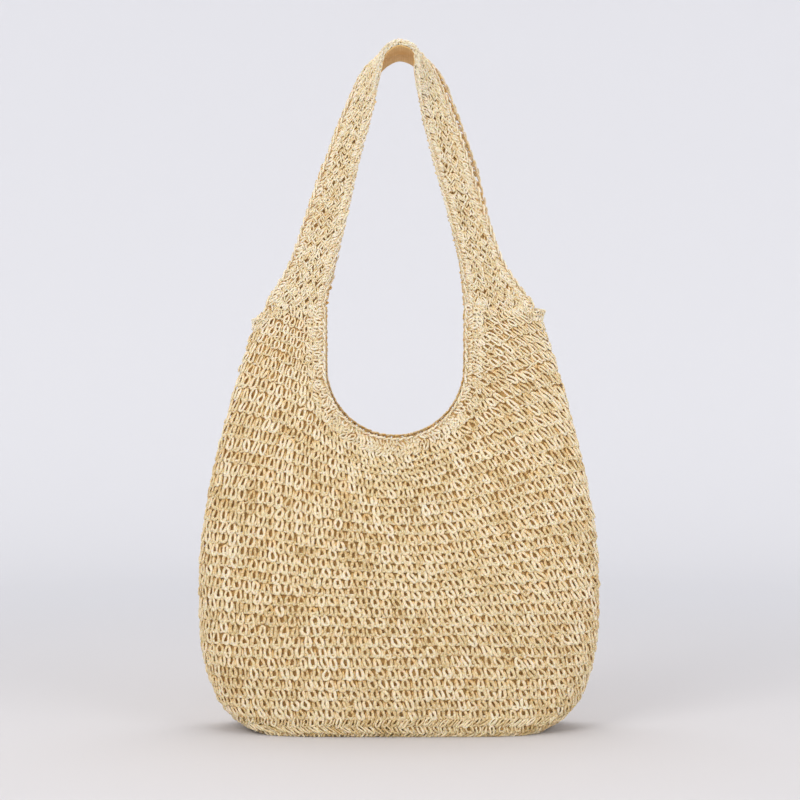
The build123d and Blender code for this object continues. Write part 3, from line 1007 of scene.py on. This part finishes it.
def make_lining():
    """The cloth bag inside. It is cut a little large, so that it puckers where it is held."""
    heights = np.concatenate([[LINING_FOOT, 9.5, 14.0], np.linspace(20, LINING_TOP, 76)])
    points = np.array([level_ring(z, *outline(z), 257)[:-1] for z in heights])
    x, y, z = points[..., 0], points[..., 1], points[..., 2]
    # The line of points nearest to the mouth's edge is moved onto the line where the lining ends.
    for side in (-1, 1):
        rise = BACK_RIM_RISE if side > 0 else 0.0
        centre = MOUTH_LOW + MOUTH_RADIUS + rise
        gap = mouth_distance(x, z, rise)
        near = (np.abs(gap - LINING_EDGE) < 3.2) & (np.sign(y) == side)
        dx, dz = x - MOUTH_X, np.minimum(z - centre, 0)
        scale = (MOUTH_RADIUS + LINING_EDGE) / (np.hypot(dx, dz) + 1e-6)
        x = np.where(near, MOUTH_X + dx * scale, x)
        z = np.where(near & (dz < 0), centre + dz * scale, z)
    depth = wall_depth(x, z)
    y = np.where(np.abs(y) > 2, np.sign(y) * np.maximum(depth, 1.0), y)
    inset = lining_inset(x, y, z)
    level = outline(z)
    out = unit(np.stack([x / level[..., 0] ** 2, y / level[..., 1] ** 2], axis=-1))
    points = np.stack([x - out[..., 0] * inset, y - out[..., 1] * inset, z], axis=-1)
    piece = sheet_object("lining_cloth", points, LINING, LINING_THICK, closed=True)
    rise = np.where(y > 0, BACK_RIM_RISE, 0.0)
    open_area = mouth_distance(x, z, rise).reshape(-1) < LINING_EDGE - 1.0
    mesh = bmesh.new()
    mesh.from_mesh(piece.data)
    mesh.verts.ensure_lookup_table()
    bmesh.ops.delete(mesh, geom=[v for v in mesh.verts if open_area[v.index]], context="VERTS")
    loose = [v for v in mesh.verts if not v.link_faces]
    bmesh.ops.delete(mesh, geom=loose, context="VERTS")
    mesh.to_mesh(piece.data)
    mesh.free()
    pucker(piece)
    return piece


def pucker(piece):
    """Cloth simulation: the lining is 3% larger than its place and is held along its edges.

    It moves inward only, and no further than PUCKER_LIMIT.
    """
    data = piece.data
    start = np.array([v.co for v in data.vertices], float)
    mesh = bmesh.new()
    mesh.from_mesh(data)
    border = {v.index for e in mesh.edges if e.is_boundary for v in e.verts}
    mesh.free()
    held = piece.vertex_groups.new(name="held")
    held.add(sorted(border), 1.0, "REPLACE")
    cloth = piece.modifiers.new("cloth", "CLOTH")
    settings = cloth.settings
    settings.vertex_group_mass = "held"
    settings.quality = 5
    settings.mass = 0.15
    settings.tension_stiffness = settings.compression_stiffness = 20
    settings.bending_stiffness = 0.25
    settings.shrink_min = -0.03
    settings.effector_weights.gravity = 0.25
    cloth.collision_settings.use_collision = False
    piece.modifiers.move(len(piece.modifiers) - 1, 0)
    piece.modifiers["thickness"].show_viewport = False
    scene = bpy.context.scene
    for step in range(PUCKER_STEPS):
        scene.frame_set(step + 1)
    result = piece.evaluated_get(bpy.context.evaluated_depsgraph_get()).data
    moved = np.array([v.co for v in result.vertices], float)
    piece.modifiers.remove(cloth)
    piece.modifiers["thickness"].show_viewport = True
    scene.frame_set(1)
    limit = PUCKER_LIMIT * MM
    radial = unit(start * [1, 1, 0])
    shift = moved - start
    outward = (shift * radial).sum(axis=1, keepdims=True)
    shift = shift - radial * outward + radial * np.clip(outward, -limit, 0.3 * MM)
    size = np.linalg.norm(shift, axis=1, keepdims=True)
    shift *= np.minimum(1, limit / (size + TINY))
    data.vertices.foreach_set("co", (start + shift).astype(np.float32).reshape(-1))
    data.update()
    piece.vertex_groups.clear()


def make_base_lining():
    """The oval bottom of the lining, lying on the base with its edge turned up to meet the wall."""
    rows = []
    a, b, n = outline(LINING_FOOT)
    columns = 128
    for share in np.linspace(0.04, 1, 26):
        size = ((a - LINING_INSET) * share, (b - LINING_INSET) * share, n)
        x, y = oval(ROUND_ANGLES, *size)
        ripple = 0.5 * np.sin(x / 19 + 2) * np.sin(y / 13 + x / 40)
        z = 6.6 + 0.9 * share ** 6 + ripple * (1 - share ** 4)
        rows.append(level_ring(z, *size, columns + 1)[:-1])
    piece = sheet_object("base_lining_cloth", np.array(rows)[:, ::-1], LINING, LINING_THICK, closed=True)
    mesh = bmesh.new()
    mesh.from_mesh(piece.data)
    mesh.verts.ensure_lookup_table()
    mesh.faces.new([mesh.verts[i] for i in range(columns)])
    bmesh.ops.triangulate(mesh, faces=[f for f in mesh.faces if len(f.verts) > 4])
    bmesh.ops.recalc_face_normals(mesh, faces=mesh.faces)
    mesh.to_mesh(piece.data)
    mesh.free()
    return piece


def wall_patch(side, box, inset, bow=0.0, step=3.0):
    """A flat piece on the inside of the wall. box is its left, right, bottom and top, and bow how far
    its top edge stands off."""
    x0, x1, z0, z1 = box
    xs = np.linspace(x0, x1, max(4, int((x1 - x0) / step)))
    zs = np.linspace(z0, z1, max(4, int((z1 - z0) / step)))
    x, z = np.meshgrid(xs, zs)
    across, up = (x - x0) / (x1 - x0), (z - z0) / (z1 - z0)
    stand = bow * np.sin(np.pi * across) ** 0.8 * up ** 2 * (1 + 0.25 * np.sin(across * 9 + 1))
    x_in = x - (x - (x0 + x1) / 2) * 0.012 * up * (bow > 0)
    y = side * (wall_depth(x, z) - inset - stand)
    points = np.stack([x_in, y, z - 0.35 * stand], axis=-1)
    return Sheet(points if side > 0 else points[:, ::-1])


def stitch_line(thread, sheet, line, lift=0.55, length=3.0, pitch=4.2):
    """Machine stitching along a line of (u, v) corners on a sheet."""
    line = np.array(line, float)
    corners = sheet.place(line[:, 0], line[:, 1])
    for k in range(len(line) - 1):
        run = np.linalg.norm(corners[k + 1] - corners[k])
        start = spaced(max(1, int(run / pitch))) - 0.5 * length / run
        t = np.linspace(0, 1, 5)[None] * length / run + start[:, None]
        u, v = (line[k][i] + (line[k + 1][i] - line[k][i]) * t for i in (0, 1))
        rise = lift * np.array([-0.6, 0.7, 1.0, 0.7, -0.6])[None] + np.zeros_like(u)
        points, normals = sheet.at(u, v, rise)
        thread.add(points, normals, False, 0.38, 0.30, sides=5)


def make_pocket():
    cloth = wall_patch(1, POCKET, POCKET_INSET, bow=4.0)
    piece = sheet_object("slip_pocket_cloth", cloth.points, LINING, LINING_THICK)
    thread = Yarn("pocket_stitching")
    stitch_line(thread, cloth, [(0.02, 0.985), (0.02, 0.02), (0.98, 0.02), (0.98, 0.985)])
    low = (POCKET[3] - HEM - POCKET[2]) / (POCKET[3] - POCKET[2])
    u, v = np.meshgrid(np.linspace(0, 1, 46), np.linspace(low, 1.0, 6))
    outer, _ = cloth.at(u, v, np.full(u.shape, 0.75))
    back, _ = cloth.at(u[::-1], v[::-1], np.full(u.shape, -0.6))
    edge, _ = cloth.at(u[:1], np.ones_like(u[:1]), np.full((1, 46), 0.1))
    edge = edge + [0, 0, 0.7]
    hem = sheet_object("pocket_hem_cloth", np.concatenate([outer, edge, back]), LINING, 0.5)
    hem_thread = Yarn("hem_stitching")
    stitch_line(hem_thread, cloth, [(0.0, low + 0.015), (1.0, low + 0.015)], lift=1.3)
    return piece, hem, thread.mesh(THREAD), hem_thread.mesh(THREAD)


def make_snap_patch(side, name):
    low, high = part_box(name)
    box = (low.x / MM, high.x / MM, low.z / MM, high.z / MM)
    cloth = wall_patch(side, box, PATCH_INSET, step=2.0)
    piece = sheet_object(name + "_cloth", cloth.points, LINING, 0.6)
    thread = Yarn(name + "_stitching")
    near, far = 0.07, 0.93
    stitch_line(thread, cloth, [(near, near), (far, near), (far, far), (near, far), (near, near)],
                length=2.0, pitch=3.0)
    return piece, thread.mesh(THREAD)


THREAD = cloth_material("sewing_thread", (0.56, 0.42, 0.22), (0.70, 0.56, 0.34), threads=2400.0)
TAPES = {"front": handle_tape(-1, "front_tape_cloth"), "back": handle_tape(1, "back_tape_cloth")}
LINING_PIECE = make_lining()
BASE_LINING = make_base_lining()
POCKET_CLOTH, HEM_CLOTH, POCKET_THREAD, HEM_THREAD = make_pocket()
PATCHES = {"front": make_snap_patch(-1, "front_snap_patch"), "back": make_snap_patch(1, "back_snap_patch")}

# ---------------------------------------------------------------- who stands for what


def on_bag(piece, node):
    """A piece that moves with the bag. It stands for a CAD node, if one is named."""
    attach(piece, "bag")
    if node:
        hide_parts(node)


def on_handle(piece, side, node):
    """A piece of a handle. Its place is baked into its mesh, and it stands for the handle's CAD node."""
    body = ("front" if side < 0 else "back") + "_handle"
    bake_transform(piece)
    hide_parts(body + node)


on_bag(PIECES["body"], "body_wall")
for key in ("left_corner", "right_corner"):
    on_bag(PIECES[key], key + "_edging")
on_bag(PIECES["base"], "base_panel")
for key in ("front_rim", "back_rim"):
    on_bag(PIECES[key], key)
for side, key in ((-1, "front"), (1, "back")):
    on_handle(PIECES[key], side, "_band")
    on_handle(PIECES[key + "_outer"], side, "_outer_edging")
    on_handle(PIECES[key + "_inner"], side, "_inner_edging")
    on_handle(TAPES[key], side, "_tape")

on_bag(LINING_PIECE, "lining_wall")
on_bag(BASE_LINING, "lining_base")
on_bag(POCKET_CLOTH, "slip_pocket")
on_bag(HEM_CLOTH, "pocket_hem")
on_bag(POCKET_THREAD, None)
on_bag(HEM_THREAD, None)
for key in ("front", "back"):
    cloth, thread = PATCHES[key]
    on_bag(cloth, key + "_snap_patch")
    on_bag(thread, None)

# The snap's own CAD shapes are kept, with a better metal.
for name in ("magnetic_snap_socket", "magnetic_snap_stud", "snap_washers"):
    bpy.data.objects[name].data.materials.clear()
    bpy.data.objects[name].data.materials.append(METAL)


# ---------------------------------------------------------------- studio


# The backdrop in metres: where the floor starts to curve up, how far the curve goes, and its top.
FLOOR_REACH, WALL_CURVE, WALL_TOP = 1.7, 1.2, 1.9
BACKDROP_SIDES = 96
WALL_GLOW = 0.22
# Distances from the bag over which the paper goes from a painted warm shade, standing in for the bag's
# shadow and bounce light, to its plain colour, and over which its glow grows.
BOUNCE_SHADE_NEAR, BOUNCE_SHADE_FAR = 0.3, 1.3
GLOW_NEAR, GLOW_FAR = 0.5, 2.7
# Name, place, target, size, power and colour.
LAMPS = (
    ("key", (-1.3, -1.9, 1.7), (0, 0, 0.3), (1.3, 1.3), 27, (1.0, 0.985, 0.96)),
    ("fill", (1.6, -1.7, 1.0), (0, 0, 0.3), (1.4, 1.6), 17, (0.97, 0.98, 1.0)),
    ("top", (0.0, 0.4, 2.3), (0, 0, 0.1), (1.8, 1.0), 20, (1.0, 0.99, 0.98)),
)


def make_stage():
    """Round seamless backdrop: a flat floor that curves up into a softly glowing wall on every side."""
    curve = np.linspace(0, math.pi / 2, 25)
    reach = [0.4, 0.8, 1.3, *(FLOOR_REACH + WALL_CURVE * np.sin(curve)), FLOOR_REACH + WALL_CURVE]
    height = [0, 0, 0, *(WALL_CURVE * (1 - np.cos(curve))), WALL_TOP]
    turn = np.linspace(0, 2 * math.pi, BACKDROP_SIDES, endpoint=False)
    verts = [(r * math.cos(t), r * math.sin(t), z) for r, z in zip(reach, height) for t in turn]
    faces = [tuple(range(BACKDROP_SIDES))]
    for low in range(0, len(verts) - BACKDROP_SIDES, BACKDROP_SIDES):
        high = low + BACKDROP_SIDES
        for k in range(BACKDROP_SIDES):
            after = (k + 1) % BACKDROP_SIDES
            faces.append((low + k, high + k, high + after, low + after))
    data = bpy.data.meshes.new("backdrop")
    data.from_pydata(verts, [], faces)
    data.polygons.foreach_set("use_smooth", [True] * len(faces))
    paint = Paint("backdrop_paper")
    place = paint.node("TexCoord", "Object")
    distance = paint.tree.nodes.new("ShaderNodeVectorMath")
    distance.operation = "LENGTH"
    paint.feed(distance.inputs[0], place)
    distance = distance.outputs["Value"]
    near = paint.node("MapRange", "Result", Value=distance, From_Min=BOUNCE_SHADE_NEAR, From_Max=BOUNCE_SHADE_FAR)
    # Painted warm shade: the paper is darker and warmer near the bag, as in its shadow and bounce light, and
    # plain further off.
    colour = paint.ramp(near, (0.0, (0.635, 0.615, 0.617)), (1.0, (0.640, 0.638, 0.660)))
    glow = paint.node("MapRange", "Result", {"interpolation_type": "SMOOTHSTEP"}, Value=distance,
                      From_Min=GLOW_NEAR, From_Max=GLOW_FAR, To_Max=WALL_GLOW)
    paint.set(paint.shader, Base_Color=colour, Roughness=0.9, Emission_Strength=glow,
              Emission_Color=(0.97, 0.97, 1.0, 1))
    data.materials.append(paint.material)
    new_object("backdrop", data)


def make_lights():
    for name, place, target, size, power, colour in LAMPS:
        lamp = bpy.data.lights.new(name, "AREA")
        lamp.shape = "RECTANGLE"
        lamp.size, lamp.size_y = size
        lamp.energy = power
        lamp.color = colour
        holder = new_object(name, lamp)
        holder.location = place
        holder.rotation_euler = (Vector(target) - Vector(place)).to_track_quat("-Z", "Y").to_euler()
    world = bpy.data.worlds.new("studio")
    bpy.context.scene.world = world
    world.use_nodes = True
    background = world.node_tree.nodes["Background"]
    background.inputs["Color"].default_value = (0.95, 0.96, 1.0, 1)
    background.inputs["Strength"].default_value = 0.56


# The camera looks level at the bag, and sees this width at the bag's middle plane.
CAMERA_DISTANCE, VIEW_WIDTH, EYE_HEIGHT = 1.9, 0.76, 0.3108
SENSOR = 36.0


def make_camera():
    data = bpy.data.cameras.new("camera")
    data.sensor_width = SENSOR
    data.lens = SENSOR * CAMERA_DISTANCE / VIEW_WIDTH
    camera = new_object("camera", data)
    camera.location = (0.001, -CAMERA_DISTANCE, EYE_HEIGHT)
    camera.rotation_euler = (math.pi / 2, 0, 0)
    bpy.context.scene.camera = camera


make_stage()
make_lights()
make_camera()

bpy.context.scene.view_settings.view_transform = "Standard"
